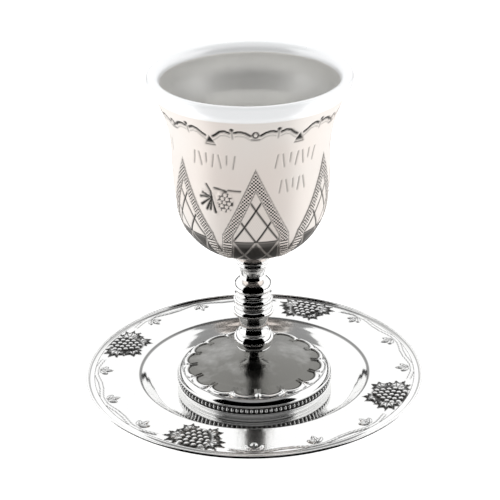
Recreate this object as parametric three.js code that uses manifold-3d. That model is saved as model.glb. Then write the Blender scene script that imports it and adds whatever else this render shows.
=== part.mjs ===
// A silver kiddush cup on its saucer: a bowl with a thick flared lip, a turned baluster stem,
// a hollow stamped foot and a broad-rimmed saucer. Millimetres, +Z up, origin at the middle of
// the saucer's underside. Angles are in degrees from the front (-Y), growing towards +X.
import * as THREE from 'three';
import { mergeVertices } from 'three/addons/utils/BufferGeometryUtils.js';
import Module from 'manifold-3d';

const wasm = await Module();
wasm.setup();

// Driving dimensions
const saucerR = 70;          // outer radius of the saucer
const sheet = 1.2;           // thickness of the saucer's sheet and of the bowl's wall
const rimZ = 7.2;            // top of the saucer's flat rim
const wellR = 39.2;          // flat floor of the saucer's well
const wellEdgeR = 49;        // where the flat rim begins
const footR = 32;            // foot, over its bead band
const footTopZ = 14.3;       // flat seat of the stem on the foot
const footLobes = 16;        // scallops round the foot
const footShell = 1.4;       // thickness of the stamped foot
const stemTopZ = 61.4;       // seat of the bowl on the stem
const lipR = 40;             // bowl, over its lip
const lipZ = 137.7;          // top of the lip
const panels = 6;            // triangle panels round the bowl, with a gap beside each
const panelStep = 360 / panels;
const clusters = 4;          // grape clusters round the saucer's rim
const clusterAngle = 26;     // the first cluster, from the front towards the left side
const rise = 0.45;           // height of raised ornament
const cut = 0.4;             // depth of engraved lines
const root = 0.7;            // how far ornament reaches into the sheet below it

const segments = { bowl: 36, stem: 12, foot: 48, saucer: 36 };

// Merges shared corners and drops the flat slivers that a lathe leaves on its axis.
function closed(geometry) {
  geometry.deleteAttribute('normal');
  geometry.deleteAttribute('uv');
  const merged = mergeVertices(geometry, 1e-3);
  const corner = (i) => merged.index.getX(i);
  const kept = [];
  for (let i = 0; i < merged.index.count; i += 3) {
    const [a, b, c] = [corner(i), corner(i + 1), corner(i + 2)];
    if (a !== b && b !== c && c !== a) {
      kept.push(a, b, c);
    }
  }
  merged.setIndex(kept);
  return merged;
}

// Turns an outline of [radius, height] points about +Z; angle 0 is the front.
function turned(outline, count) {
  const points = outline.map(([r, z]) => new THREE.Vector2(r, z));
  const geometry = new THREE.LatheGeometry(points, count);
  geometry.rotateX(Math.PI / 2);
  return closed(geometry);
}

// Builds a closed geometry from corners and triangles, turned so that its faces point out.
function facets(corners, triangles) {
  let volume = 0;
  for (const [a, b, c] of triangles) {
    volume += corners[a].dot(corners[b].clone().cross(corners[c]));
  }
  const order = volume > 0 ? [0, 1, 2] : [0, 2, 1];
  const geometry = new THREE.BufferGeometry();
  geometry.setAttribute('position', new THREE.Float32BufferAttribute(corners.flatMap((p) => p.toArray()), 3));
  geometry.setIndex(triangles.flatMap((t) => order.map((k) => t[k])));
  return geometry;
}

function toSolid(geometry) {
  return new wasm.Manifold(new wasm.Mesh({
    numProp: 3,
    vertProperties: new Float32Array(geometry.attributes.position.array),
    triVerts: new Uint32Array(geometry.index.array),
  }));
}

function toGeometry(solid) {
  const mesh = solid.getMesh();
  const geometry = new THREE.BufferGeometry();
  geometry.setAttribute('position', new THREE.Float32BufferAttribute(mesh.vertProperties, 3));
  geometry.setIndex(new THREE.Uint32BufferAttribute(mesh.triVerts, 1));
  return geometry;
}

function addAll(solid, extras) {
  return extras.reduce((sum, extra) => sum.add(toSolid(extra)), solid);
}

function cutAll(solid, tools) {
  return tools.reduce((rest, tool) => rest.subtract(toSolid(tool)), solid);
}

// A surface gives point(angle, along, lift): along is the height on the bowl or the radius on
// the rim, and lift stands off the surface. radius(along) turns millimetres into degrees.
function stepAround(surface, along, millimetres) {
  return THREE.MathUtils.radToDeg(millimetres / surface.radius(along));
}

// A strip along a path of [angle, along] points, with one section of [aside, lift] points.
function ribbon(surface, path, section) {
  const n = section.length;
  const corners = [];
  const triangles = [];
  path.forEach(([angle, along], i) => {
    const [angleA, alongA] = path[Math.max(i - 1, 0)];
    const [angleB, alongB] = path[Math.min(i + 1, path.length - 1)];
    const across = THREE.MathUtils.degToRad(angleB - angleA) * surface.radius(along);
    const up = alongB - alongA;
    const reach = Math.hypot(across, up);
    for (const [aside, lift] of section) {
      const shift = stepAround(surface, along, (aside * up) / reach);
      corners.push(surface.point(angle + shift, along - (aside * across) / reach, lift));
    }
    for (let k = 0; i > 0 && k < n; k += 1) {
      const [a, b] = [n * (i - 1) + k, n * (i - 1) + ((k + 1) % n)];
      triangles.push([a, b, b + n], [a, b + n, a + n]);
    }
  });
  const last = corners.length - n;
  for (let k = 2; k < n; k += 1) {
    triangles.push([0, k, k - 1], [last, last + k - 1, last + k]);
  }
  return facets(corners, triangles);
}

// A raised band has a flat top; a groove is a V that is cut in.
function bandSection(width) {
  return [[-width / 2, -root], [-width / 2, rise], [width / 2, rise], [width / 2, -root]];
}

function grooveSection(width) {
  const clear = 0.4;
  const mouth = (width / 2) * (1 + clear / cut);
  return [[0, -cut], [-mouth, clear], [mouth, clear]];
}

// A boss over an outline of [across, up] points: a low crown above it and a root below it.
function boss(surface, angle, along, outline, crown, seat = -0.15) {
  const n = outline.length;
  const ring = outline.map(([x, y]) => (
    surface.point(angle + stepAround(surface, along, x), along + y, seat)
  ));
  const middle = outline.reduce(([a, b], [x, y]) => [a + x / n, b + y / n], [0, 0]);
  const at = angle + stepAround(surface, along, middle[0]);
  const corners = [...ring, surface.point(at, along + middle[1], crown)];
  corners.push(surface.point(at, along + middle[1], -root));
  const triangles = [];
  for (let i = 0; i < n; i += 1) {
    const j = (i + 1) % n;
    triangles.push([i, j, n], [j, i, n + 1]);
  }
  return facets(corners, triangles);
}

// A pit with the same kind of outline, deepest in the middle.
function pit(surface, angle, along, outline) {
  const n = outline.length;
  const clear = 0.4;
  const ring = outline.map(([x, y]) => (
    surface.point(angle + stepAround(surface, along, x * 2), along + y * 2, clear)
  ));
  const corners = [...ring, surface.point(angle, along, -cut)];
  const triangles = [];
  for (let i = 0; i < n; i += 1) {
    const j = (i + 1) % n;
    triangles.push([i, j, n]);
    if (i > 0 && j > 0) {
      triangles.push([0, j, i]);
    }
  }
  return facets(corners, triangles);
}

function roundOutline(radius, sides) {
  return Array.from({ length: sides }, (_, i) => {
    const turn = (2 * Math.PI * i) / sides;
    return [radius * Math.sin(turn), radius * Math.cos(turn)];
  });
}

// A vine leaf: lobes fan out from the stalk end, with a notch between each two.
function leafOutline(length, lobes, pointing) {
  const outline = [[0, 0]];
  for (let i = 0; i < 2 * lobes - 1; i += 1) {
    const spread = THREE.MathUtils.degToRad(-100 + (200 * i) / (2 * lobes - 2));
    const reach = length * (i % 2 === 0 ? 0.72 + 0.28 * Math.cos(spread) : 0.5);
    outline.push([reach * Math.sin(spread), reach * Math.cos(spread)]);
  }
  const turn = THREE.MathUtils.degToRad(pointing);
  const [c, s] = [Math.cos(turn), Math.sin(turn)];
  const middle = length * 0.3;
  return outline.map(([x, y]) => [x * c + (y - middle) * s, (y - middle) * c - x * s]);
}

// A bunch of grapes narrowing along `pointing`: rows of 3, 2 and 1 berries.
function grapeBunch(surface, angle, along, berry, pointing) {
  const rows = [3, 2, 1];
  const turn = THREE.MathUtils.degToRad(pointing);
  const bunch = [];
  rows.forEach((count, row) => {
    for (let k = 0; k < count; k += 1) {
      const x = (k - (count - 1) / 2) * 2 * berry * 1.02;
      const y = (row - 0.8) * berry * 1.8;
      const across = x * Math.cos(turn) + y * Math.sin(turn);
      const up = y * Math.cos(turn) - x * Math.sin(turn);
      const at = angle + stepAround(surface, along, across);
      bunch.push(boss(surface, at, along + up, roundOutline(berry * 1.1, 5), rise * 1.8));
    }
  });
  return bunch;
}

// The outside of the wall from the stem up to the step under the lip, radius against height.
const wallCurve = new THREE.SplineCurve([
  [7.8, 61.9], [14.3, 64.2], [20.7, 67.7], [25.5, 72.7], [28.7, 79.7], [30.4, 88.7],
  [31.2, 101], [31.6, 112], [33.4, 120.4], [37.6, 130.8],
].map(([r, z]) => new THREE.Vector2(r, z)));
const wallSamples = wallCurve.getPoints(180);

function wallAt(z) {
  const above = Math.max(wallSamples.findIndex((p) => p.y >= z), 1);
  const [a, b] = [wallSamples[above - 1], wallSamples[above]];
  const share = (z - a.y) / (b.y - a.y);
  const slope = Math.hypot(b.x - a.x, b.y - a.y);
  return { r: a.x + (b.x - a.x) * share, out: (b.y - a.y) / slope, up: (a.x - b.x) / slope };
}

const bowlWall = {
  radius: (z) => wallAt(z).r,
  point(angle, z, lift) {
    const { r, out, up } = wallAt(z);
    const turn = THREE.MathUtils.degToRad(angle);
    const reach = r + lift * out;
    return new THREE.Vector3(reach * Math.sin(turn), -reach * Math.cos(turn), z + lift * up);
  },
};

// Wall, thick rolled lip and inside as one closed outline.
function bowlOutline() {
  const outside = wallCurve.getPoints(9).map((p) => [p.x, p.y]);
  const lip = [
    [38.2, 131.1], [39.6, 133.4], [lipR + 0.1, 135.8], [lipR - 0.5, lipZ],
    [35.4, 136], [34.4, 133], [34, 127.5],
  ];
  const inside = wallCurve.getPoints(6)
    .filter((p) => p.y < 120 && p.x > 12)
    .map((p) => {
      const { out, up } = wallAt(p.y);
      return [p.x - sheet * out, p.y - sheet * up];
    })
    .reverse();
  return [[0, stemTopZ], [6.6, stemTopZ], ...outside, ...lip, ...inside, [0, 63]];
}

// Angle on the wall of a point that lies `across` millimetres beside a panel's middle plane.
function angleBeside(z, across) {
  return THREE.MathUtils.radToDeg(Math.asin(across / wallAt(z).r));
}

const panelTopZ = 109.3;     // apex of a triangle panel
const panelHalf = 12.7;      // half its width where its sides turn straight down
const panelTurnZ = 81.3;
const panelFootZ = 72.5;     // where it runs out under the bowl
const bandWidth = 3.7;

// The knurled band of one panel: two straight legs from the apex, then down over the bottom.
function panelBands(centre) {
  const middle = (z) => {
    const share = (panelTopZ - z) / (panelTopZ - panelTurnZ);
    return Math.min(share, 1) * panelHalf - bandWidth / 2;
  };
  const heights = [panelTopZ - 2.5, 101, 91, panelTurnZ, panelFootZ];
  return [-1, 1].map((side) => {
    const leg = heights.map((z) => [centre + side * angleBeside(z, middle(z)), z]);
    return ribbon(bowlWall, leg, bandSection(bandWidth));
  });
}

// The two long lines of the engraved lattice, crossing in the middle of a panel.
function panelLattice(centre) {
  const cell = { across: 4.5, up: 7.25 };
  const crossZ = 92.5;
  return [-1, 1].map((side) => {
    const path = [0.7, -0.5, -1.7].map((t) => {
      const z = crossZ + cell.up * t;
      return [centre - side * angleBeside(z, cell.across * t), z];
    });
    return ribbon(bowlWall, path, grooveSection(0.8));
  });
}

const bud = { z: 125, outline: roundOutline(1.4, 4) };               // over each apex
const fan = { z: 122, outline: [[0, 2], [2, -1.2], [-2, -1.2]] };    // over each gap

// One engraved arch of the border, from a bud down to a fan.
function borderArch(budAngle, fanAngle) {
  const path = [0.12, 0.5, 0.9].map((t) => {
    const level = bud.z + (fan.z - bud.z) * t;
    return [budAngle + (fanAngle - budAngle) * t, level + 2.6 * Math.sin(Math.PI * t)];
  });
  return ribbon(bowlWall, path, grooveSection(1.2));
}

// Border of one panel: a bud over its apex, a fan over the gap and the arches between them.
function panelBorder(centre) {
  const half = panelStep / 2;
  return [
    borderArch(centre, centre + half),
    borderArch(centre, centre - half),
    pit(bowlWall, centre, bud.z, bud.outline),
    pit(bowlWall, centre + half, fan.z, fan.outline),
  ];
}

// Rows of short upright strokes in the place of the words between two panels.
function strokeRow(middle, { z, tall, count, step }) {
  return Array.from({ length: count }, (_, k) => {
    const angle = middle + (k - (count - 1) / 2) * step;
    const lean = (k % 3) - 1;
    const path = [[angle - lean, z - tall / 2], [angle + lean, z + tall / 2]];
    return ribbon(bowlWall, path, grooveSection(0.9));
  });
}

// A vine leaf and a bunch of grapes standing low in a gap.
function vineSprig(middle) {
  return [
    boss(bowlWall, middle - 7, 96.4, leafOutline(8, 4, 200), rise * 1.5),
    ...grapeBunch(bowlWall, middle + 8, 95.6, 1.4, 185),
  ];
}

const upperStrokes = { z: 113, tall: 5.4, count: 3, step: 12 };
const lowerStrokes = { z: 102, tall: 5, count: 3, step: 8 };

function bowl() {
  let solid = toSolid(turned(bowlOutline(), segments.bowl));
  for (let i = 0; i < panels; i += 1) {
    const centre = i * panelStep;
    const gap = centre + panelStep / 2;
    const isWritten = i % 2 === 0;
    solid = addAll(solid, [...panelBands(centre), ...(isWritten ? [] : vineSprig(gap))]);
    solid = cutAll(solid, [...panelLattice(centre), ...panelBorder(centre)]);
    solid = cutAll(solid, strokeRow(gap, upperStrokes));
    solid = cutAll(solid, isWritten ? strokeRow(gap, lowerStrokes) : []);
  }
  return toGeometry(solid);
}

// A rounded moulding between two heights, standing out from the straight line between its ends.
function moulding(zLow, zHigh, rLow, rHigh, bulge, steps) {
  return Array.from({ length: steps + 1 }, (_, i) => {
    const t = i / steps;
    return [rLow + (rHigh - rLow) * t + bulge * Math.sin(Math.PI * t), zLow + (zHigh - zLow) * t];
  });
}

function stemOutline() {
  return [
    [0, footTopZ], [4.2, footTopZ], [4.2, 15.4],
    [5.1, 17.4], [7, 19],                       // taper up to the lower knob
    ...moulding(19.3, 25.3, 7.1, 6.9, 1.2, 4),  // lower knob
    [6.1, 25.8],
    ...moulding(26.1, 32.8, 6.1, 6.6, -0.7, 3), // waist
    ...moulding(33.5, 37, 7.6, 7.5, 0.8, 3),    // ringed mouldings
    ...moulding(37.2, 38.7, 7.4, 7.3, 0.65, 2),
    ...moulding(39.1, 42.1, 7.2, 7.3, 0.7, 3),
    ...moulding(42.3, 43.9, 7.2, 7.2, 0.5, 2),
    ...moulding(44.6, 50.2, 6.9, 5.3, 1.7, 4),  // upper knob
    [5.1, 51.3],
    [5.3, 52.7], [6.1, 55.6],                   // funnel up to the bowl's collar
    [6.5, 56.3], [6.3, 57.2],
    ...moulding(57.6, 59.8, 6.6, 6.3, 0.7, 2),
    [5.6, 60.3], [5.6, stemTopZ], [0, stemTopZ],
  ];
}

const borderR = 26;          // nodes of the scalloped border
const lobeReach = 2.8;       // how far each scallop swings out

function footOutline() {
  const border = [[borderR - 0.7, 10.5], [borderR, 11.1], [borderR + 0.9, 10.4]];
  return [
    [0, footTopZ - footShell], [4, footTopZ - footShell], [25.6, 9.1], [30.1, 6.9],
    [29.9, 1.2], [31.2, 1.2], [footR, 3.5],
    [31.4, 3.9], [footR + 0.1, 5.2], [31.4, 6.5],    // bead band
    [footR, 7], [30.6, 9.2],
    ...border.reverse(),
    [4.2, footTopZ], [0, footTopZ],
  ];
}

// Pushes the border's three rings outwards between the nodes, one scallop to a lobe.
function foot() {
  const geometry = turned(footOutline(), segments.foot);
  const position = geometry.attributes.position;
  for (let i = 0; i < position.count; i += 1) {
    const [x, y, z] = [position.getX(i), position.getY(i), position.getZ(i)];
    const r = Math.hypot(x, y);
    if (z > 10 && r > borderR - 1 && r < borderR + 1) {
      const lobe = Math.abs(Math.sin((Math.atan2(x, -y) * footLobes) / 2));
      const stretch = (r + lobeReach * lobe) / r;
      position.setXYZ(i, x * stretch, y * stretch, z);
    }
  }
  return geometry;
}

const rimTop = {
  radius: (r) => r,
  point(angle, r, lift) {
    const turn = THREE.MathUtils.degToRad(angle);
    return new THREE.Vector3(r * Math.sin(turn), -r * Math.cos(turn), rimZ + lift);
  },
};

function saucerOutline() {
  return [
    [0, 0], [wellR - 0.6, 0], [wellEdgeR - 2.4, rimZ - 1.9], [wellEdgeR, rimZ - sheet],
    [saucerR - 2, rimZ - sheet], [saucerR - 0.5, rimZ - 1], [saucerR, rimZ - 0.2],
    [saucerR - 0.7, rimZ + 0.7], [saucerR - 1.5, rimZ - 0.45],
    [saucerR - 3.4, rimZ], [wellEdgeR, rimZ], [wellEdgeR - 1.6, rimZ - 0.4],
    [wellR, sheet], [0, sheet],
  ];
}

// The vine that wanders along the rim between two clusters, with a pair of leaves at each bend.
function rimVine(from, to) {
  const reach = to - from;
  const path = Array.from({ length: 10 }, (_, i) => {
    const t = i / 9;
    return [from + reach * t, 64.4 + 1.1 * Math.sin(6 * Math.PI * t)];
  });
  const pieces = [ribbon(rimTop, path, [[0, rise * 1.4], [0.8, -0.2], [-0.8, -0.2]])];
  const blade = [[0, 3], [1.3, 0.4], [0, -2.4], [-1.3, 0.4]];
  for (const share of [0.17, 0.5, 0.83]) {
    for (const side of [-1, 1]) {
      const swing = THREE.MathUtils.degToRad(180 - side * 38);
      const outline = blade.map(([x, y]) => [
        x * Math.cos(swing) + y * Math.sin(swing), y * Math.cos(swing) - x * Math.sin(swing),
      ]);
      const at = from + reach * share + stepAround(rimTop, 61, side * 1.9);
      pieces.push(boss(rimTop, at, 61.6, outline, rise * 1.4));
    }
  }
  return pieces;
}

// Grapes in the middle of a cluster, a vine leaf at each end.
function rimCluster(angle) {
  const pieces = grapeBunch(rimTop, angle, 57.5, 1.9, 180);
  for (const side of [-1, 1]) {
    const at = angle + side * 8.6;
    pieces.push(boss(rimTop, at, 58, leafOutline(8.4, 4, side * 80), rise * 1.6));
  }
  return pieces;
}

function saucer() {
  let solid = toSolid(turned(saucerOutline(), segments.saucer));
  const step = 360 / clusters;
  for (let i = 0; i < clusters; i += 1) {
    const angle = i * step - clusterAngle;
    solid = addAll(solid, [...rimCluster(angle), ...rimVine(angle + 14, angle + step - 14)]);
  }
  return toGeometry(solid);
}

const satinSilver = new THREE.MeshStandardMaterial({ color: 0xd6d1ca, roughness: 0.32, metalness: 1 });
const brightSilver = new THREE.MeshStandardMaterial({ color: 0xe6e6e4, roughness: 0.08, metalness: 1 });

function piece(name, geometry, material) {
  const mesh = new THREE.Mesh(geometry, material.clone());
  mesh.name = name;
  return mesh;
}

const cup = new THREE.Group();
cup.add(piece('bowl', bowl(), satinSilver));
cup.add(piece('stem', turned(stemOutline(), segments.stem), brightSilver));
cup.add(piece('foot', foot(), brightSilver));
cup.add(piece('saucer', saucer(), brightSilver));

export default cup;
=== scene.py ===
import math

import bpy
import numpy as np
from mathutils import Matrix, Vector


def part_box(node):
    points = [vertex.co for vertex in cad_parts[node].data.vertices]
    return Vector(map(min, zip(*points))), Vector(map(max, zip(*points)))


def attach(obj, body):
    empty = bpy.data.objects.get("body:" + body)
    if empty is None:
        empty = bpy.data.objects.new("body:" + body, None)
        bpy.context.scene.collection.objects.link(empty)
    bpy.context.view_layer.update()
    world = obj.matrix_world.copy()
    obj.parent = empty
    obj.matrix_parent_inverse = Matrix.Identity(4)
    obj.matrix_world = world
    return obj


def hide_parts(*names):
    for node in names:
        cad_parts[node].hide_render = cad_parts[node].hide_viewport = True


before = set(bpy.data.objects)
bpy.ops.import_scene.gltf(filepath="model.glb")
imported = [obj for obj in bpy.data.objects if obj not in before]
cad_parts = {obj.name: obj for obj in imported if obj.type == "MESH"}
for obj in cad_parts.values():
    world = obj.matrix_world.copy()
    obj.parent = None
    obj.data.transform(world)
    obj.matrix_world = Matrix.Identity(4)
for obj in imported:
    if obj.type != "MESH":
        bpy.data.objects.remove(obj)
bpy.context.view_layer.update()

mm = 0.001                      # shapes below are in millimetres


def turnedSize(node):
    # half width, lowest and highest point of a turned solid
    low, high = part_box(node)
    return (high.x - low.x) / 2 / mm, low.z / mm, high.z / mm


bowlR, bowlFootZ, lipZ = turnedSize("bowl")
stemR, stemFootZ, stemTopZ = turnedSize("stem")
footR, footZ, footTopZ = turnedSize("foot")
saucerR, saucerFootZ, saucerTopZ = turnedSize("saucer")
print("frame loaded: bowl", round(bowlR, 2), "saucer", round(saucerR, 2))


# Curves, grids and skins

def smoothCurve(knots, step):
    # A smooth line through [radius, height] points: cubic pieces whose slope at a point follows
    # its neighbours, sampled evenly about `step` apart.
    knots = np.array(knots, float)
    t = np.concatenate([[0], np.cumsum(np.hypot(*np.diff(knots, axis=0).T))])
    if len(t) < 3:
        slope = np.repeat(np.diff(knots, axis=0) / t[-1], 2, axis=0)
    else:
        slope = np.gradient(knots, t, axis=0)
    at = np.linspace(0, t[-1], max(2, round(t[-1] / step) + 1))
    i = np.clip(np.searchsorted(t, at, side="right") - 1, 0, len(t) - 2)
    span = (t[i + 1] - t[i])[:, None]
    s = ((at - t[i]) / (t[i + 1] - t[i]))[:, None]
    a, b = knots[i], knots[i + 1]
    return (a * (1 + 2 * s) * (1 - s) ** 2 + b * s ** 2 * (3 - 2 * s)
            + slope[i] * span * s * (1 - s) ** 2 - slope[i + 1] * span * s ** 2 * (1 - s))


def joinCurves(*curves):
    # one line from several, without the shared points
    line = np.concatenate([np.asarray(c, float) for c in curves])
    keep = np.concatenate([[True], np.hypot(*np.diff(line, axis=0).T) > 1e-4])
    return line[keep]


def outward(line):
    # unit normals of a profile that runs up the outside
    along = np.gradient(line, axis=0)
    along /= np.hypot(*along.T)[:, None]
    return np.stack([along[:, 1], -along[:, 0]], axis=1)


def ringBand(line, columns, relief=None, layers=None):
    # A profile of [radius, height] carried round +Z from the front. The relief, in mm over the
    # points, is added along the profile's normal, and layers are values kept at the points.
    angle = np.arange(columns) * 2 * math.pi / columns
    normal = outward(line)
    a, r = np.meshgrid(angle, line[:, 0])
    z = np.repeat(line[:, 1:], columns, axis=1)
    lift = 0 if relief is None else relief
    reach = r + lift * normal[:, :1]
    height = z + lift * normal[:, 1:]
    points = np.stack([reach * np.sin(a), -reach * np.cos(a), height], axis=-1)
    return {"points": points, "layers": layers or {}}


def grid(line, columns):
    # angle in degrees, radius and height of every point of a band before its relief
    degrees = np.arange(columns) * 360 / columns
    a, r = np.meshgrid(degrees, line[:, 0])
    return a, r, np.repeat(line[:, 1:], columns, axis=1)


def allRound(rows, columns):
    # one value for each row of a profile, the same all the way round
    return np.repeat(rows, columns, axis=1)


def ringSkin(name, bands):
    # Closed skin of a turned piece from its first point on the axis to its last: quads inside a
    # band, faces that fan from one coarse edge to several fine ones between bands, and triangles
    # round the axis at both ends.
    coords, faces, start = [], [], 1
    rings = []
    for band in bands:
        rows, columns, _ = band["points"].shape
        index = start + np.arange(rows * columns).reshape(rows, columns)
        below, above = index[:-1], index[1:]
        quads = np.stack([below, np.roll(below, -1, 1), np.roll(above, -1, 1), above], -1)
        faces.append(quads.reshape(-1, 4))
        rings.append((index[0], index[-1]))
        coords.append(band["points"].reshape(-1, 3))
        start += rows * columns
    for (_, low), (high, _) in zip(rings, rings[1:]):
        faces.append(stitch(low, high))
    first, last = rings[0][0], rings[-1][1]
    end = start
    faces.append(np.stack([np.zeros_like(first), np.roll(first, -1), first], -1))
    faces.append(np.stack([last, np.roll(last, -1), np.full_like(last, end)], -1))
    tips = [bands[0]["points"][0], bands[-1]["points"][-1]]
    poles = [[0, 0, tip[:, 2].mean()] for tip in tips]
    coords = np.concatenate([[poles[0]], *coords, [poles[1]]])
    names = {key for band in bands for key in band["layers"]}
    layers = {}
    for key in sorted(names):
        parts = [
            band["layers"].get(key, np.zeros(band["points"].shape[:2])).ravel() for band in bands
        ]
        layers[key] = np.concatenate([[0], *parts, [0]])
    return addMesh(name, coords, faces, layers)


def stitch(low, high):
    # faces between two rings whose column counts are equal or differ by a whole factor
    if len(low) == len(high):
        return np.stack([low, np.roll(low, -1), np.roll(high, -1), high], -1)
    fine, coarse = (low, high) if len(low) > len(high) else (high, low)
    factor = len(fine) // len(coarse)
    start = np.arange(len(coarse)) * factor
    steps = [fine[(start + k) % len(fine)] for k in range(factor + 1)]
    if fine is low:
        return np.stack([*steps, np.roll(coarse, -1), coarse], -1)
    return np.stack([coarse, np.roll(coarse, -1), *steps[::-1]], -1)


def addMesh(name, coords, faces, layers):
    # one mesh object from whole arrays: points, faces of several sizes and point values
    mesh = bpy.data.meshes.new(name)
    corners = np.concatenate([f.ravel() for f in faces])
    sizes = np.concatenate([np.full(len(f), f.shape[1]) for f in faces])
    starts = np.concatenate([[0], np.cumsum(sizes)[:-1]])
    mesh.vertices.add(len(coords))
    mesh.loops.add(len(corners))
    mesh.polygons.add(len(sizes))
    mesh.vertices.foreach_set("co", (coords * mm).astype(np.float32).ravel())
    mesh.loops.foreach_set("vertex_index", corners.astype(np.int32))
    mesh.polygons.foreach_set("loop_start", starts.astype(np.int32))
    mesh.polygons.foreach_set("use_smooth", np.ones(len(sizes), bool))
    for key, values in layers.items():
        layer = mesh.attributes.new(key, "FLOAT", "POINT")
        layer.data.foreach_set("value", values.astype(np.float32))
    mesh.update(calc_edges=True)
    mesh.validate()
    piece = bpy.data.objects.new(name, mesh)
    bpy.context.scene.collection.objects.link(piece)
    triangles = int((sizes - 2).sum())
    print(name, "skin:", len(coords), "points,", triangles, "triangles")
    return piece


def standFor(piece, node, material):
    # the piece takes its node's place, finish and body
    piece.data.materials.append(material)
    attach(piece, "root")
    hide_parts(node)


# Ornament: every motif is worked out from distances in millimetres on the unrolled surface

def ramp(value, low, high):
    # 0 below low, 1 above high and a smooth step between
    t = np.clip((value - low) / (high - low), 0, 1)
    return t * t * (3 - 2 * t)


def lineDistance(x, y, path):
    # distance of every point to a broken line
    best = np.full(x.shape, 1e3)
    for (ax, ay), (bx, by) in zip(path, path[1:]):
        dx, dy = bx - ax, by - ay
        t = np.clip(((x - ax) * dx + (y - ay) * dy) / (dx * dx + dy * dy), 0, 1)
        best = np.minimum(best, np.hypot(x - ax - t * dx, y - ay - t * dy))
    return best


def turned(x, y, degrees):
    # coordinates along and beside a direction that is `degrees` clockwise from up
    c, s = math.cos(math.radians(degrees)), math.sin(math.radians(degrees))
    return x * s + y * c, x * c - y * s


def berries(x, y, radius, rows, pointing):
    # Dome over each berry of a bunch: rows of berries side by side from the stalk outwards,
    # shifted by half a berry where the counts differ by one.
    along, aside = turned(x, y, pointing)
    dome = np.zeros(x.shape)
    for row, count in enumerate(rows):
        for k in range(count):
            cx = (k - (count - 1) / 2) * 2 * radius
            cy = row * 1.7 * radius
            d = np.hypot(aside - cx, along - cy) / radius
            dome = np.maximum(dome, np.sqrt(np.clip(1 - d * d, 0, 1)))
    return dome


def vineLeaf(x, y, length, lobes, pointing, spread=105):
    # Height and rib mask of a leaf: its edge is a round fan whose radius dips between lobes,
    # and each lobe has a rib from the stalk to its tip. The third value is the way to the edge.
    along, aside = turned(x, y, pointing)
    along = along + 0.18 * length
    r = np.hypot(along, aside)
    turn = np.degrees(np.arctan2(aside, along))
    phase = (turn / spread + 1) / 2 * lobes
    dip = np.abs(np.cos(math.pi * phase)) ** 0.7
    edge = length * (0.72 + 0.28 * np.cos(np.radians(turn))) * (1 - 0.34 * dip)
    edge = np.where(np.abs(turn) > spread, 0.25 * length, edge)
    body = ramp(edge - r, -0.25, 0.45)
    toRib = np.abs((phase % 1) - 0.5) / lobes * 2 * np.radians(spread) * r
    rib = ramp(0.45 - toRib, 0, 0.35) * ramp(edge - r, 0.3, 0.8)
    return body, rib, edge - r


bowlShape = {
    "wall": [                              # outside of the wall, radius against height
        [7.8, 61.9], [14.3, 64.2], [20.7, 67.7], [25.5, 72.7], [28.7, 79.7], [30.4, 88.7],
        [31.2, 101], [31.6, 112], [33.4, 120.4], [37.6, 130.8],
    ],
    "sheet": 1.2,
    "columns": 540,
    "rowStep": 0.5,
    "ornament": [66.5, 129.2],             # heights between which the wall is worked
    "panels": 6,
    "polishedZ": 75.5,                     # the wall is brighter below this height
}

triangleShape = {
    "apexZ": 109.3,
    "half": 12.7,                          # half width where the sides turn straight down
    "turnZ": 81.3,
    "band": 3.8,                           # width of the knurled band, level
    "baseZ": 78,
    "cell": [4.5, 7.25],                   # half the lattice diamond, across and up
    "crossZ": 92.5,
    "rise": 0.35,
    "knurl": 0.18,
    "knurlTurns": 136,                     # knurls round the wall
    "knurlPitch": 1.4,                     # and up it
    "line": 0.75,
    "cut": 0.25,
}

borderShape = {                            # angle from the bud in degrees, and height
    "arch": [[3.3, 124.6], [6.2, 125.8], [8.7, 126.3], [11, 126.3], [12.8, 125.9]],
    "farArch": [[16.2, 125.7], [19, 126.4], [22, 126], [25.3, 124.3], [27.4, 123.5]],
    "budZ": 124.9,
    "fanZ": 122,
    "node": [14.4, 127.2],
    "line": 1.05,
    "cut": 0.4,
    "echoDrop": 1.75,                      # the faint line lies this far under the arches
    "budR": 1.05,
    "domeR": 0.8,
    "domeRise": 0.3,
    "fanHalf": 0.85,
    "wallR": 34,
}

wordShape = {                              # rows of strokes: middle height, tall, count, step
    "upper": [112.6, 5.4, 7, 5.1],
    "lower": [101.9, 5, 5, 4.7],
    "line": 0.5,
    "cut": 0.25,
    "shade": 0.62,
    "lowerTurn": -3,                       # degrees from the gap's middle to the lower row's
    "leans": [0.9, -0.7, 0.2],             # of three strokes in turn, in degrees round the wall
    "depths": [0.5, 0.5, 0.2],             # how far they reach below the middle, of the height
    "wallR": 31.5,
}

sprigShape = {                             # across the gap from its middle, and height
    "stalk": [-1.1, 97.2],
    "tips": [[0.3, 91.1], [-1.9, 91.9], [-3.5, 91.8], [-5.8, 93.4], [-6.2, 96.7], [-5.1, 98.4]],
    "twigs": [
        [[-3.5, 102.2], [-1.8, 99.6], [-1.1, 97.2]], [[0, 101.2], [2.8, 100.8], [4.9, 100.3]],
        [[5.7, 100.8], [10.3, 100.7]],
    ],
    "twig": 0.4,
    "bunch": [4.4, 95.7, 3.1, 4.1],        # middle and half sizes
    "berry": 0.95,
    "rows": [3, 4, 3, 4, 3],
    "wallR": 31,
}


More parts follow.
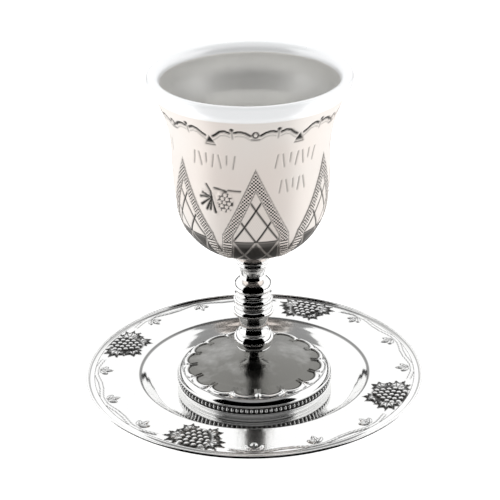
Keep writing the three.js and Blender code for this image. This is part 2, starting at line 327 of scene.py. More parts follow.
def panelRelief(a, r, z):
    # Triangle of knurled band with a lattice inside. The distance beside a panel's middle plane is
    # radius times the sine of the angle, so the sides are straight when seen from in front.
    s = triangleShape
    step = 360 / bowlShape["panels"]
    x = r * np.sin(np.radians((a + step / 2) % step - step / 2))
    slope = s["half"] / (s["apexZ"] - s["turnZ"])
    lean = 1 / math.hypot(1, slope)
    outer = np.where(z > s["turnZ"], slope * (s["apexZ"] - z), s["half"])
    toOuter = (outer - np.abs(x)) * np.where(z > s["turnZ"], lean, 1)
    toInner = (np.abs(x) - outer + s["band"]) * np.where(z > s["turnZ"], lean, 1)
    innerApex = s["apexZ"] - s["band"] / slope
    toInner = np.where(z > innerApex, toOuter, toInner)
    band = np.minimum(toOuter, toInner)
    level = np.cos(2 * math.pi * z / s["knurlPitch"])
    upright = np.cos(np.radians(a) * s["knurlTurns"])
    ladder = ramp(-z, -s["baseZ"] - 1, -s["baseZ"] + 1)
    weave = level * (upright + ladder * (1 - upright))
    inBand = ramp(band, 0.2, 0.5)
    lift = s["rise"] * ramp(band, -0.15, 0.3) + s["knurl"] * weave * inBand
    dark = 0.8 * ramp(0.35 - np.abs(band), 0, 0.25)

    inside = ramp(-toInner, 0.2, 0.6) * (z < innerApex)
    u = x / s["cell"][0]
    v = (z - s["crossZ"]) / s["cell"][1]
    scale = s["cell"][0] * s["cell"][1] / math.hypot(*s["cell"])
    toLine = np.minimum(np.abs((u + v + 1) % 2 - 1), np.abs((u - v + 1) % 2 - 1)) * scale
    toBase = np.abs(z - s["baseZ"])
    engraved = ramp(s["line"] / 2 - np.minimum(toLine, toBase), -0.25, 0.2) * inside
    lift = lift - s["cut"] * engraved
    hatch = inside * ramp(toLine, 0.3, 0.6)
    under = inside * ramp(s["baseZ"] - z, 0, 0.4)
    dark = np.maximum.reduce([dark, engraved * (1 - under), under * (0.9 - 0.5 * engraved)])
    layers = {"hatch": hatch, "knurl": inBand, "ladder": ladder, "crossA": u + v, "crossB": u - v}
    return lift, dark, layers


def cutLine(x, y, path, half):
    # mask of a thin engraved line
    return ramp(half - lineDistance(x, y, path), -0.2, 0.2)


def borderRelief(a, r, z):
    # Festoon of engraved arches, mirrored about each bud: a bud over each panel, a fan over
    # each gap and a small knot between them. A faint line follows under the arches.
    s = borderShape
    half = 180 / bowlShape["panels"]
    fold = np.abs((a + half) % (2 * half) - half)
    flat = np.radians(1) * s["wallR"]
    x = fold * flat
    paths = [[[angle * flat, height] for angle, height in s[key]] for key in ("arch", "farArch")]
    arches = np.minimum(*(lineDistance(x, z, path) for path in paths))
    engraved = ramp(s["line"] / 2 - arches, -0.25, 0.25)
    echo = np.minimum(*(lineDistance(x, z + s["echoDrop"], path) for path in paths))
    faint = ramp(0.22 - echo, -0.25, 0.2) * 0.45

    budZ, fanZ = s["budZ"], s["fanZ"]
    bud = np.hypot(np.radians(fold) * r, (z - budZ) * 0.85)
    budRing = ramp(0.35 - np.abs(bud - s["budR"]), -0.2, 0.25)
    under = cutLine(x, z, [[0, budZ - 2.3], [1.7, budZ - 2.1]], 0.3)
    toGap = np.radians(half - fold) * r
    fan = np.abs(toGap) * 0.9 + (z - fanZ) * 0.55
    fanBody = ramp(s["fanHalf"] - fan, -0.3, 0.3) * ramp(z - fanZ + 1.5, -0.25, 0.25)
    fanLine = cutLine(toGap, z, [[0, fanZ - 2.4], [2, fanZ - 2.2]], 0.3)
    nodeX, nodeZ = s["node"][0] * flat, s["node"][1]
    knot = ramp(0.75 - np.hypot(x - nodeX, z - nodeZ), -0.25, 0.25)
    toTail = lineDistance(x, z, [[nodeX, nodeZ - 0.9], [nodeX, nodeZ - 4]])
    tail = ramp(0.3 - toTail, -0.25, 0.2) * 0.5
    dark = np.maximum.reduce([
        engraved, faint, budRing, 0.8 * under, fanBody, 0.8 * fanLine, knot, tail,
    ])
    budDome = np.sqrt(np.clip(1 - (bud / s["domeR"]) ** 2, 0, 1))
    return -s["cut"] * dark + s["domeRise"] * budDome, dark * (1 - 0.8 * (budDome > 0.2))


def strokeRelief(a, z, middle, row):
    # A row of shallow strokes, each a slanted line; every third one is short and nearly upright.
    s = wordShape
    height, tall, count, step = row
    best = np.full(z.shape, 1e3)
    x = (a - middle + 180) % 360 - 180
    flat = math.radians(1) * s["wallR"]
    for k in range(count):
        at = (k - (count - 1) / 2) * step
        lean = s["leans"][k % 3]
        low = height - tall * s["depths"][k % 3]
        path = [[(at - lean) * flat, low], [(at + lean) * flat, height + tall / 2]]
        best = np.minimum(best, lineDistance(x * flat, z, path))
    dark = ramp(s["line"] / 2 - best, -0.25, 0.25)
    return -s["cut"] * dark, s["shade"] * dark


def sprigRelief(a, z, middle):
    # Vine leaf, bunch of grapes and two twigs in a gap between panels. The leaf is a fan of thick
    # cuts from its stalk to the tips of its lobes.
    s = sprigShape
    x = np.radians((a - middle + 180) % 360 - 180) * s["wallR"]
    ribs = np.minimum.reduce([lineDistance(x, z, [s["stalk"], tip]) for tip in s["tips"]])
    fromStalk = np.hypot(x - s["stalk"][0], z - s["stalk"][1])
    rib = ramp(0.24 + 0.05 * fromStalk - ribs, -0.25, 0.2)
    leaf = ramp(1.2 - ribs, -0.3, 0.3)
    twigs = np.minimum.reduce([lineDistance(x, z, path) for path in s["twigs"]])
    twig = ramp(s["twig"] - twigs, -0.25, 0.25)
    bunchX, bunchZ, halfX, halfZ = s["bunch"]
    grapes = berries(x - bunchX, z - bunchZ - halfZ + s["berry"], s["berry"], s["rows"], 186)
    bunch = ramp(1 - np.hypot((x - bunchX) / halfX, (z - bunchZ) / halfZ), -0.1, 0.05)
    dark = np.maximum.reduce([rib, twig, bunch * ramp(0.72 - grapes, 0, 0.3)])
    return 0.3 * leaf - 0.3 * rib + 0.42 * grapes - 0.25 * twig, dark


def bowlProfile():
    # four stretches of the profile: base, worked wall, lip and inside
    s = bowlShape
    wall = smoothCurve(s["wall"], s["rowStep"])
    low, high = s["ornament"]
    worked = wall[(wall[:, 1] > low) & (wall[:, 1] < high)]
    seat = [[2, bowlFootZ], [6.4, bowlFootZ], [6.8, bowlFootZ], [7.3, bowlFootZ + 0.2]]
    base = joinCurves(seat, wall[wall[:, 1] <= low])
    lip = joinCurves(
        wall[wall[:, 1] >= high],
        [[37.7, 131], [38.1, 131.1]],
        smoothCurve([[38.1, 131.1], [39, 132.3], [39.7, 133.9], [bowlR - 0.02, 135.7]], 0.4),
        smoothCurve([[bowlR - 0.02, 135.7], [40, 136.9], [39.6, lipZ - 0.15], [39.1, lipZ]], 0.3),
        smoothCurve([[39.1, lipZ], [37.6, 137.4], [36.2, 136.7], [35.4, 135.7], [35, 134.4]], 0.4),
    )
    inner = (wall - s["sheet"] * outward(wall))[::-1]
    inner = inner[(inner[:, 1] < 119) & (inner[:, 0] > 8)]
    flare = smoothCurve([[35, 134.4], [34.9, 131], [34.4, 127.5], [33.1, 123], inner[0]], 0.8)
    floor = smoothCurve([inner[-1], [4, 63.1], [1.5, 63]], 1)
    inside = joinCurves(lip[-1:], flare, inner[::2], floor)
    return base, worked, lip, inside[1:]


def wallOrnament(a, r, z):
    # Panels and border all round. Every gap between panels has a row of strokes, and below it
    # a second row and a sprig take turns.
    lift, dark, layers = panelRelief(a, r, z)
    borderLift, borderDark = borderRelief(a, r, z)
    lift, dark = lift + borderLift, np.maximum(dark, borderDark)
    panels = bowlShape["panels"]
    for i in range(panels):
        gap = (i + 0.5) * 360 / panels
        marks = [strokeRelief(a, z, gap, wordShape["upper"])]
        if i % 2 == 0:
            marks.append(strokeRelief(a, z, gap + wordShape["lowerTurn"], wordShape["lower"]))
        else:
            marks.append(sprigRelief(a, z, gap))
        for markLift, markDark in marks:
            lift, dark = lift + markLift, np.maximum(dark, markDark)
    return lift, dark, layers


def bowlSkin():
    s = bowlShape
    fine = s["columns"]
    coarse = fine // 4
    base, worked, lip, inside = bowlProfile()
    a, r, z = grid(worked, fine)
    lift, dark, layers = wallOrnament(a, r, z)
    low, high = s["ornament"]
    edge = ramp(z, low, low + 1.5) * ramp(-z, -high, -high + 0.8)
    layers["patina"] = dark * edge
    layers["polish"] = ramp(-z, -s["polishedZ"] - 1, -s["polishedZ"] + 1)
    # the lip's mask, which carries its own metallic and roughness and a painted reflection: a pale
    # cool colour
    onLip = ramp(lip[:, 1:], 130.4, 130.9)
    bands = [
        ringBand(base, coarse, layers={"polish": np.ones((len(base), coarse))}),
        ringBand(worked, fine, lift * edge, layers),
        ringBand(lip, coarse, layers={"lip": allRound(onLip, coarse)}),
        ringBand(inside, coarse, layers={"inside": np.ones((len(inside), coarse))}),
    ]
    return ringSkin("bowl_silver", bands)


stemShape = {
    "columns": 96,
    "rowStep": 0.2,
}


def bead(zLow, zHigh, rEnd, bulge):
    # a rounded moulding between two heights: a half sine standing out from its ends
    t = np.linspace(0, 1, max(5, round((zHigh - zLow) / 0.25)))
    return np.stack([rEnd + bulge * np.sin(math.pi * t) ** 0.75, zLow + (zHigh - zLow) * t], 1)


def stemSkin():
    # Turned baluster: profile from the foot up through two knobs with rings between them.
    step = stemShape["rowStep"]
    profile = joinCurves(
        [[2, stemFootZ], [4.1, stemFootZ]],
        smoothCurve([[4.1, stemFootZ], [4.25, 15.2], [4.6, 15.8], [5.6, 17.2], [6.9, 18.6]], step),
        [[7.2, 18.9], [7.0, 19.15]],
        bead(19.2, 25.3, 6.95, 1.3),
        [[6.3, 25.4]],
        bead(25.45, 25.9, 6.3, 0.25),
        smoothCurve([[6.2, 26], [5.8, 28], [5.75, 29.4], [6.1, 31.5], [6.7, 33.2]], step),
        [[7.1, 33.4], [7, 33.6]],
        bead(33.7, 37, 7.45, 0.9),
        bead(37.15, 38.7, 7.3, 0.75),
        [[6.9, 38.9]],
        bead(39.1, 42.1, 7.15, 0.8),
        [[6.95, 42.2]],
        bead(42.3, 43.9, 7.05, 0.65),
        [[6.9, 44.3]],
        smoothCurve(
            [[6.9, 44.5], [7.8, 45.2], [8, 46.6], [7.5, 48], [6.2, 49.4], [5.2, 50.1]], step),
        smoothCurve([[5.15, 50.3], [5.05, 51.4], [5.25, 52.8], [5.7, 54.6], [6.1, 55.7]], step),
        bead(55.8, 57.2, 6.1, 0.4),
        bead(57.5, 59.9, 6.3, 0.9),
        smoothCurve([[5.9, 60.1], [5.6, 60.6], [5.6, stemTopZ]], step),
        [[2, stemTopZ]],
    )
    return ringSkin("stem_silver", [ringBand(profile, stemShape["columns"])])


footShape = {
    "beads": 100,
    "lobes": 16,
    "fine": 800,
    "coarse": 200,
    "borderR": 26,
    "lobeReach": 2.3,
    "shell": 1.4,
}


def scallopRelief(a, r):
    # Stamped border: a cord that swings out between nodes, one lobe each, and two little darts
    # at every node.
    s = footShape
    phase = (a * s["lobes"] / 360) % 1
    swing = np.abs(np.sin(math.pi * phase)) ** 0.55
    toCord = (r - s["borderR"] - 0.4 - s["lobeReach"] * swing) * (0.55 + 0.45 * swing)
    main = np.sqrt(np.clip(1 - (toCord / 0.85) ** 2, 0, 1)) * ramp(swing, 0.3, 0.6)
    toNode = ((phase + 0.5) % 1 - 0.5) * 2 * math.pi * r / s["lobes"]
    darts = ramp(0.45 - np.abs(np.abs(toNode) - 0.75), 0, 0.35)
    fromBorder = r - s["borderR"]
    darts = darts * ramp(fromBorder, -3, -2) * ramp(-fromBorder, -1.4, -0.4)
    groove = ramp(0.4 - np.abs(np.abs(toCord) - 1.05), 0, 0.3) * ramp(swing, 0.3, 0.6)
    dark = np.maximum(0.85 * groove, 0.5 * ramp(0.3 - np.abs(darts - 0.5), 0, 0.2))
    # the third value marks the inner side of the cord, which is dull and painted dark grey like the
    # cone: painted shade
    return 0.5 * main + 0.45 * darts - 0.12 * groove, dark, ramp(-toCord, 0.2, 0.9)


def beadRelief(a, z, low, high):
    # a row of round beads standing off the band between two heights
    s = footShape
    pitch = 2 * math.pi * (footR - 0.6) / s["beads"]
    x = ((a * s["beads"] / 360) % 1 - 0.5) * pitch / 0.66
    y = (z - (low + high) / 2) / 0.95
    dome = np.sqrt(np.clip(1 - x * x - y * y, 0, 1))
    return 0.75 * dome, ramp(0.75 - dome, 0, 0.6)


def footSkin():
    # Hollow stamped foot: low cone, scalloped border, shoulder and beaded band.
    s = footShape
    step = 0.35
    bandLow, bandHigh = 3.9, 6.5
    hollow = joinCurves(
        smoothCurve([[1, footTopZ - s["shell"]], [4, footTopZ - s["shell"]]], 1),
        smoothCurve([[4, footTopZ - s["shell"]], [15, 11.1], [25.6, 9.1]], 1.5),
        smoothCurve([[25.6, 9.1], [28.6, 8.1], [30.1, 6.9], [30.2, 4], [30, footZ]], 1),
    )
    plinth = joinCurves(
        [[30, footZ], [31, footZ], [31.25, footZ + 0.15]],
        smoothCurve([[31.25, footZ + 0.15], [31.3, 2.1], [31.6, 2.3]], 0.4),
        smoothCurve([[31.6, 2.3], [31.75, 2.75], [31.6, 3.2]], 0.2),
        smoothCurve([[31.9, 3.3], [32.05, 3.6], [31.8, 3.85], [31.4, bandLow]], 0.15),
    )
    beads = smoothCurve([[31.35, bandLow], [31.35, bandHigh]], 0.2)
    shoulder = joinCurves(
        smoothCurve([[31.4, 6.55], [31.85, 6.8], [31.95, 7.15], [31.6, 7.5]], 0.15),
        smoothCurve([[31.6, 7.5], [31.2, 8.3], [30.3, 9.3], [29.7, 9.7]], step),
    )
    border = smoothCurve([[29.7, 9.7], [28.4, 10.1], [26, 10.45], [23, 10.95]], 0.3)
    cone = joinCurves(
        smoothCurve([[23, 10.95], [14, 12.6], [7, 13.85], [4.4, footTopZ]], 1.2),
        [[4, footTopZ], [1, footTopZ]],
    )
    a, r, _ = grid(border, s["fine"])
    lift, dark, dull = scallopRelief(a, r)
    edge = ramp(-r, -29.7, -29.2) * ramp(r, 23, 23.4)
    beadA, _, beadZ = grid(beads, s["fine"])
    beadLift, beadDark = beadRelief(beadA, beadZ, bandLow, bandHigh)
    bands = [
        ringBand(hollow, s["coarse"]),
        ringBand(plinth, s["coarse"]),
        ringBand(beads, s["fine"], beadLift, {"patina": beadDark}),
        ringBand(shoulder, s["coarse"]),
        ringBand(border, s["fine"], lift * edge, {"patina": dark * edge, "dull": dull}),
        # the cone is dull and painted dark grey: painted shade for the dark surroundings it
        # reflects
        ringBand(cone, s["coarse"], layers={"dull": np.ones((len(cone), s["coarse"]))}),
    ]
    return ringSkin("foot_silver", bands)


saucerShape = {
    "wellR": 39.2,
    # the two dark lines below are painted shade: at the crease where the rim meets the well, and in
    # the groove inside the rolled edge
    "wellEdge": 47.4,                      # radius of the dark line where the rim meets the well
    "rimZ": 7.2,
    "grooveR": 68.4,                       # dark line inside the rolled edge
    "sheet": 1.2,
    "rim": [48.6, 66.4],                   # radii between which the rim is worked
    "clusters": 4,
    "clusterAngle": 26,                    # the first cluster, from the front towards the left
    "fine": 1008,
    "coarse": 252,
}

clusterShape = {
    "middleR": 58,
    "bunch": [59.5, 6.6, 7.6],             # radius of its middle, half width and half length
    "firstR": 64.6,                        # radius of the first row of berries
    "berry": 1.3,
    "berryRise": 0.8,
    "rows": [4, 5, 5, 4, 3, 2],
    # a leaf's stalk beside and along the bunch, its length, lobes and direction
    "leaves": [[6.4, 61, 7.4, 7, 70], [5, 54.5, 6, 5, 115]],
    "leafRise": 0.55,
    "ribCut": 0.35,
}

vineShape = {
    "middleR": 64.9,
    "sway": 0.9,
    "waves": 16,                           # round the whole rim
    "span": 32,                            # degrees to each side of the middle between clusters
    "half": 0.55,
    "stalkRise": 0.4,
    "sprigs": [-22.5, 0, 22.5],
    "sprigR": 64.2,
    "blades": [[135, 4.4], [180, 5.4], [225, 4.4]],    # direction and length
    "bladeHalf": 1.15,
    "bladeRise": 0.42,
}


def clusterRelief(a, r):
    # Bunch of grapes pointing at the well, with two vine leaves on each side.
    s = clusterShape
    step = 360 / saucerShape["clusters"]
    turn = (a + saucerShape["clusterAngle"] + step / 2) % step - step / 2
    x = np.radians(turn) * s["middleR"]
    grapes = berries(x, r - s["firstR"], s["berry"], s["rows"], 180)
    lift = s["berryRise"] * grapes
    bunchR, halfX, halfR = s["bunch"]
    inBunch = ramp(1 - np.hypot(x / halfX, (r - bunchR) / halfR), -0.1, 0.1)
    dark = inBunch * ramp(0.9 - grapes, 0, 0.25)
    outside = 1 - inBunch
    for side in (-1, 1):
        for leafX, leafR, length, lobes, pointing in s["leaves"]:
            body, rib, toEdge = vineLeaf(side * x - leafX, r - leafR, length, lobes, pointing)
            border = ramp(0.9 - np.abs(toEdge - 0.5), 0, 0.25)
            lift = np.maximum(lift, (s["leafRise"] * body - s["ribCut"] * rib) * outside)
            dark = np.maximum(dark, np.maximum(rib, border) * outside)
    return lift, dark


def vineRelief(a, r):
    # A stalk that wanders along the rim between clusters, with sprigs of three narrow leaves
    # that reach in from it.
    s = vineShape
    step = 360 / saucerShape["clusters"]
    turn = (a + saucerShape["clusterAngle"]) % step - step / 2
    span = ramp(s["span"] - np.abs(turn), 0, 1.5)
    toStalk = np.abs(r - s["middleR"] - s["sway"] * np.cos(np.radians(turn * s["waves"])))
    lift = s["stalkRise"] * ramp(s["half"] - toStalk, 0, 0.5) * span
    dark = 0.8 * ramp(0.3 - np.abs(toStalk - 0.75), 0, 0.25) * span
    for at in s["sprigs"]:
        x = np.radians(turn - at) * 62
        for swing, length in s["blades"]:
            along, aside = turned(x, r - s["sprigR"], swing)
            half = s["bladeHalf"] * np.sin(math.pi * np.clip(along / length, 0, 1)) ** 0.7
            blade = ramp(half - np.abs(aside), -0.15, 0.3) * (along > 0) * (along < length)
            lift = np.maximum(lift, s["bladeRise"] * blade)
            vein = ramp(0.3 - np.abs(aside), 0, 0.25) * (along > 0) * (along < 0.8 * length)
            dark = np.maximum.reduce([dark, ramp(0.42 - np.abs(blade - 0.4), 0, 0.25), vein])
    return lift, dark


def saucerProfile():
    # three stretches of the profile: underside with the rolled edge, worked rim and well
    s = saucerShape
    top, under = s["rimZ"], s["rimZ"] - s["sheet"]
    wellR = s["wellR"]
    rimIn, rimOut = s["rim"]
    bottom = joinCurves(
        smoothCurve([[1, saucerFootZ], [wellR - 1.2, saucerFootZ]], 3),
        smoothCurve([[38, 0], [39.4, 0.12], [42, 1.6], [45, 4], [47, 5.4], [49.6, under]], 0.8),
        smoothCurve([[49.6, under], [67.6, under]], 2),
        smoothCurve([[67.6, under], [69, under + 0.15], [69.8, 6.6], [saucerR, 7.15]], 0.3),
        smoothCurve([[saucerR, 7.15], [69.95, 7.5], [69.6, 7.85], [69.2, 7.88]], 0.15),
        smoothCurve([[69.2, 7.88], [68.9, 7.7], [68.65, 7.1], [68.4, 6.75], [68.1, 6.7]], 0.15),
        smoothCurve([[68.1, 6.7], [67.4, 6.9], [66.8, 7.14], [rimOut, top]], 0.15),
    )
    rim = smoothCurve([[rimOut, top], [rimIn, top - 0.02]], 0.38)
    well = joinCurves(
        smoothCurve([[rimIn, top - 0.02], [47.6, 6.9], [46.6, 6.1], [45, 4.6]], 0.3),
        smoothCurve([[45, 4.6], [42.6, 2.6], [41, 1.6], [wellR, s["sheet"]]], 0.4),
        smoothCurve([[wellR, s["sheet"]], [1, s["sheet"]]], 2.5),
    )
    return bottom, rim, well


def saucerSkin():
    # Pressed sheet: flat well, rounded wall, broad level rim with relief and a rolled edge.
    s = saucerShape
    rimIn, rimOut = s["rim"]
    coarse = s["coarse"]
    bottom, rim, well = saucerProfile()
    a, r, _ = grid(rim, s["fine"])
    lift, dark = clusterRelief(a, r)
    vineLift, vineDark = vineRelief(a, r)
    edge = ramp(r, rimIn, rimIn + 0.5) * ramp(-r, -rimOut, -rimOut + 0.4)
    lift = np.maximum(lift, vineLift) * edge
    dark = np.maximum(dark, vineDark) * edge
    # painted shade: a dark line in the groove inside the rolled edge and another round the edge of
    # the well, kept in the same layer as the relief's patina
    toGroove = np.abs(bottom[:, :1] - s["grooveR"])
    groove = 0.55 * ramp(0.3 - toGroove, 0, 0.15) * (bottom[:, 1:] > 6)
    toEdge = np.abs(well[:, :1] - s["wellEdge"])
    shade = 0.75 * ramp(0.7 - toEdge, 0, 0.4)
    bands = [
        ringBand(bottom, coarse, layers={"patina": allRound(groove, coarse)}),
        ringBand(rim, s["fine"], lift, {"patina": dark}),
        ringBand(well, coarse, layers={"patina": allRound(shade, coarse)}),
    ]
    return ringSkin("saucer_silver", bands)


# Materials

class Wire:
    # A socket of a node tree. Arithmetic on it adds Math nodes; add() makes any other node from
    # its type, its settings and the values or wires of its sockets.
    def __init__(self, tree, socket=None):
        self.tree = tree
        self.socket = socket

    def add(self, kind, settings=None, inputs=None, output=0):
        node = self.tree.nodes.new(kind)
        for key, value in (settings or {}).items():
            setattr(node, key, value)
        for key, value in (inputs or {}).items():
            if isinstance(value, Wire):
                self.tree.links.new(value.socket, node.inputs[key])
            else:
                node.inputs[key].default_value = value
        return Wire(self.tree, node.outputs[output])

    def math(self, operation, *values):
        return self.add("ShaderNodeMath", {"operation": operation}, dict(enumerate(values)))

    def __add__(self, other):
        return self.math("ADD", self, other)

    def __sub__(self, other):
        return self.math("SUBTRACT", self, other)

    def __rsub__(self, other):
        return self.math("SUBTRACT", other, self)

    def __mul__(self, other):
        return self.math("MULTIPLY", self, other)

    __radd__ = __add__
    __rmul__ = __mul__

    def cos(self):
        return self.math("COSINE", self)

    def step(self, low, high):
        # smooth step from 0 at low to 1 at high
        settings = {"interpolation_type": "SMOOTHSTEP"}
        return self.add("ShaderNodeMapRange", settings, {0: self, 1: low, 2: high})

    def layer(self, name):
        return self.add("ShaderNodeAttribute", {"attribute_name": name}, output=2)

    def noise(self, place, scale, detail=2.0, roughness=0.5):
        inputs = {"Vector": place, "Scale": scale, "Detail": detail, "Roughness": roughness}
        return self.add("ShaderNodeTexNoise", {}, inputs)

    def mix(self, factor, first, second):
        return self.add("ShaderNodeMix", {"data_type": "RGBA"}, {0: factor, 6: first, 7: second}, 2)


satinFinish = {
    "clean": (0.775, 0.703, 0.655, 1),
    "cool": (0.765, 0.72, 0.68, 1),
    # painted reflection: the lip's pale cool colour stands in for the white light it reflects from
    # above
    "lip": (0.93, 0.94, 0.95, 1),
    "inside": (0.96, 0.955, 0.935, 1),
    "dark": (0.02, 0.019, 0.016, 1),
    "metallic": {"wall": 0.28, "inside": 0.85, "polish": 0.9, "lip": 0.3},
    "roughness": {"wall": 0.42, "inside": 0.4, "polish": 0.25, "lip": 0.3},
    "patches": 26.0,                       # scales of the two noises
    "grain": 900.0,
    "hatch": 0.07,
    "hatchLines": 5.0,                     # to half a lattice diamond
}

brightFinish = {
    "clean": (0.93, 0.93, 0.925, 1),
    "dark": (0.02, 0.019, 0.017, 1),
    # painted shade: dark grey on the foot's dull cone, standing in for the dark surroundings it
    # reflects
    "dull": (0.2, 0.197, 0.185, 1),
    "roughness": 0.07,
    "wipes": 60.0,                         # scales of the two noises
    "fine": 700.0,
}


def newMaterial(name):
    # a metal and the two ends of its tree
    material = bpy.data.materials.new(name)
    material.use_nodes = True
    tree = material.node_tree
    shader = tree.nodes["Principled BSDF"]
    shader.inputs["Metallic"].default_value = 1
    return material, shader, Wire(tree)


def feed(shader, sockets):
    for name, wire in sockets.items():
        wire.tree.links.new(wire.socket, shader.inputs[name])


def knurlShade(wire, place):
    # dark hollows of the knurled bands: the same waves round and up the wall as in their relief
    s = triangleShape
    x, y, z = (wire.add("ShaderNodeSeparateXYZ", {}, {0: place}, axis) for axis in range(3))
    angle = x.math("ARCTAN2", x, y * -1.0)
    upright = (angle * s["knurlTurns"]).cos()
    level = (z * (2 * math.pi / (s["knurlPitch"] * mm))).cos()
    weave = level * (upright + wire.layer("ladder") * (1 - upright))
    return (0 - weave).step(-0.08, 0.1) * wire.layer("knurl")


def latticeHatch(wire):
    # fine crossed lines that run beside the lattice's own
    lines = None
    for cross in ("crossA", "crossB"):
        place = wire.layer(cross) * satinFinish["hatchLines"]
        line = place.math("PINGPONG", place, 0.5).step(0.3, 0.46)
        lines = line if lines is None else lines.math("MAXIMUM", lines, line)
    return lines * wire.layer("hatch") * satinFinish["hatch"]


def satinSilver():
    # Fine brushed silver: warm and cool patches, dark engraving and knurl, and a hatch between
    # the panels' lattice lines. The inside, the foot of the wall and the lip are brighter; the
    # lip's pale cool colour is a painted reflection of the white light above, and the lip also has
    # its own gloss.
    s = satinFinish
    material, shader, wire = newMaterial("satin_silver_finish")
    place = wire.add("ShaderNodeTexCoord", output=3)
    patches = wire.noise(place, s["patches"]).step(0.35, 0.65)
    grain = wire.noise(place, s["grain"], 3.0, 0.7)
    patina = wire.layer("patina")
    dark = patina.math("MAXIMUM", patina, latticeHatch(wire))
    dark = dark.math("MAXIMUM", dark, knurlShade(wire, place))
    tint = wire.mix(patches, s["clean"], s["cool"])
    # the lip's tint is a painted reflection of white light; the inside's tint is its own brighter
    # silver
    for key in ("lip", "inside"):
        tint = wire.mix(wire.layer(key), tint, s[key])
    color = wire.mix(dark, tint, s["dark"])
    metallic, roughness = s["metallic"]["wall"], s["roughness"]["wall"]
    for key in ("inside", "polish", "lip"):
        mask = wire.layer(key)
        metallic = metallic + (s["metallic"][key] - s["metallic"]["wall"]) * mask
        roughness = roughness + (s["roughness"][key] - s["roughness"]["wall"]) * mask
    roughness = roughness + 0.25 * dark + 0.12 * (grain - 0.5)
    bump = wire.add("ShaderNodeBump", {}, {"Strength": 0.12, "Distance": 0.0001, "Height": grain})
    feed(shader, {
        "Base Color": color, "Metallic": metallic, "Roughness": roughness, "Normal": bump,
    })
    return material


def brightSilver():
    # Mirror polish with faint wiping marks. The low places of the relief stay dark, and so do the
    # painted shade lines in the saucer's groove and round its well. The foot's cone is dull, and
    # its dark grey colour is painted shade for the dark surroundings it reflects.
    s = brightFinish
    material, shader, wire = newMaterial("bright_silver_finish")
    place = wire.add("ShaderNodeTexCoord", output=3)
    wipes = wire.noise(place, s["wipes"], 4.0, 0.6)
    fine = wire.noise(place, s["fine"], 2.0, 0.5)
    patina = wire.layer("patina")
    dull = wire.layer("dull")
    # painted shade on the dull cone, mottled by the wipes
    mottledShade = dull * (0.45 + 1.1 * wipes)
    color = wire.mix(mottledShade, s["clean"], s["dull"])
    # patina in the relief's hollows, together with painted shade lines in the saucer's groove and
    # round its well
    color = wire.mix(patina * 0.97, color, s["dark"])
    roughness = s["roughness"] + 0.05 * wipes + 0.2 * patina + 0.1 * dull
    bump = wire.add("ShaderNodeBump", {}, {"Strength": 0.03, "Distance": 0.0001, "Height": fine})
    feed(shader, {"Base Color": color, "Roughness": roughness, "Normal": bump})
    return material


satin = satinSilver()
bright = brightSilver()
standFor(bowlSkin(), "bowl", satin)
standFor(stemSkin(), "stem", bright)
standFor(footSkin(), "foot", bright)
standFor(saucerSkin(), "saucer", bright)
print("pieces dressed")


# Studio: pale floor, soft white surroundings and dark cards that only reflections see

studio = {
    "floor": 8.0,
    "white": 1.1,
    "floorGlow": 0.4,
    "far": 1.6,                            # radius of the ring that the cards stand on
    "front": 62,                           # half angle of the dark surroundings by the camera
    "frontNear": 0.073,                    # where their floor begins
    "frontTop": 2.2,
    "horizon": 0.2,                        # height of the dark strip round the rest
    "back": 32,                            # half angle of the dark card on the floor behind
    "backNear": 0.3,
    "ceiling": 2.2,
    "ceilingGlow": 0.3,
}


def sheetMesh(name, points, rows, columns):
    # open sheet over a grid of points, for the floor and the cards
    index = np.arange(rows * columns).reshape(rows, columns)
    quads = np.stack([index[:-1, :-1], index[:-1, 1:], index[1:, 1:], index[1:, :-1]], -1)
    mesh = bpy.data.meshes.new(name)
    mesh.from_pydata(points.reshape(-1, 3).tolist(), [], quads.reshape(-1, 4).tolist())
    piece = bpy.data.objects.new(name, mesh)
    bpy.context.scene.collection.objects.link(piece)
    return piece


def plainMaterial(name, grey, glow=0.0):
    # matt paint, with a glow of its own where the surface has to be an exact tone
    material, shader, _ = newMaterial(name)
    shader.inputs["Metallic"].default_value = 0
    shader.inputs["Base Color"].default_value = (grey, grey, grey, 1)
    shader.inputs["Roughness"].default_value = 1
    shader.inputs["Specular IOR Level"].default_value = 0
    shader.inputs["Emission Color"].default_value = (1, 1, 1, 1)
    shader.inputs["Emission Strength"].default_value = glow
    return material


def card(name, low, high, middle, spread, material):
    # Part of a cone round the object between two [radius, height] ends, which only
    # reflections see.
    turn = np.radians(np.linspace(middle - spread, middle + spread, 49))
    t, a = np.meshgrid(np.linspace(0, 1, 9), turn, indexing="ij")
    r = low[0] + (high[0] - low[0]) * t
    z = low[1] + (high[1] - low[1]) * t
    piece = sheetMesh(name, np.stack([r * np.sin(a), -r * np.cos(a), z], -1), 9, 49)
    piece.data.materials.append(material)
    piece.visible_camera = False
    piece.visible_diffuse = False
    piece.visible_shadow = False
    piece.visible_transmission = False


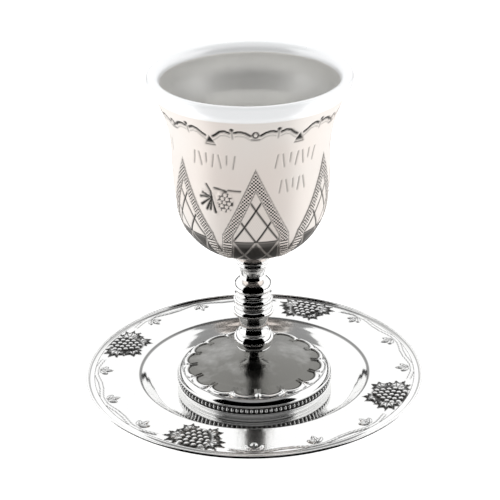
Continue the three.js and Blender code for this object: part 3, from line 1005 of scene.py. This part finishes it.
def buildStudio(azimuth):
    s = studio
    half = s["floor"] / 2
    x, y = np.meshgrid([-half, half], [-half, half])
    floor = sheetMesh("floor", np.stack([x, y, 0 * x - 0.0002], -1), 2, 2)
    floor.data.materials.append(plainMaterial("floor_paint", 0.95, s["floorGlow"]))
    black = plainMaterial("card_black", 0)
    grey = plainMaterial("card_grey", 0, s["ceilingGlow"])
    far, lift = s["far"], 0.0005
    card("card_front_floor", [s["frontNear"], lift], [far, lift], azimuth, s["front"], black)
    card("card_front", [far, lift], [far, s["frontTop"]], azimuth, s["front"], black)
    card("card_back_floor", [s["backNear"], lift], [far, lift], azimuth + 180, s["back"], black)
    card("card_horizon", [far, lift], [far, s["horizon"]], azimuth + 180, 180 - s["front"], black)
    card("card_ceiling", [0.001, s["ceiling"]], [far, s["ceiling"]], azimuth, 180, grey)
    world = bpy.data.worlds.new("studio_white")
    world.use_nodes = True
    world.node_tree.nodes["Background"].inputs["Color"].default_value = (1, 1, 1, 1)
    world.node_tree.nodes["Background"].inputs["Strength"].default_value = s["white"]
    bpy.context.scene.world = world


view = {
    "azimuth": -3,                         # degrees from the front towards the left
    "distance": 0.6356,                    # level distance from the axis
    "height": 0.358,
    "aimZ": 0.062,
    "aside": -0.00098,
    "lens": 125.1,
    "roll": -0.91,
}


def buildCamera():
    # stands off at an azimuth and height, looks at a point beside the axis, and rolls a little
    v = view
    a = math.radians(v["azimuth"])
    place = Vector((math.sin(a) * v["distance"], -math.cos(a) * v["distance"], v["height"]))
    beside = Vector((math.cos(a), math.sin(a), 0)) * v["aside"]
    look = Vector((0, 0, v["aimZ"])) + beside - place
    camera = bpy.data.cameras.new("camera")
    camera.lens = v["lens"]
    camera.sensor_width = 36
    piece = bpy.data.objects.new("camera", camera)
    turn = look.to_track_quat("-Z", "Y").to_matrix().to_4x4()
    roll = Matrix.Rotation(math.radians(v["roll"]), 4, "Z")
    piece.matrix_world = Matrix.Translation(place) @ turn @ roll
    bpy.context.scene.collection.objects.link(piece)
    bpy.context.scene.camera = piece


buildStudio(view["azimuth"])
buildCamera()
bpy.context.scene.view_settings.view_transform = "Standard"
print("studio and camera set")
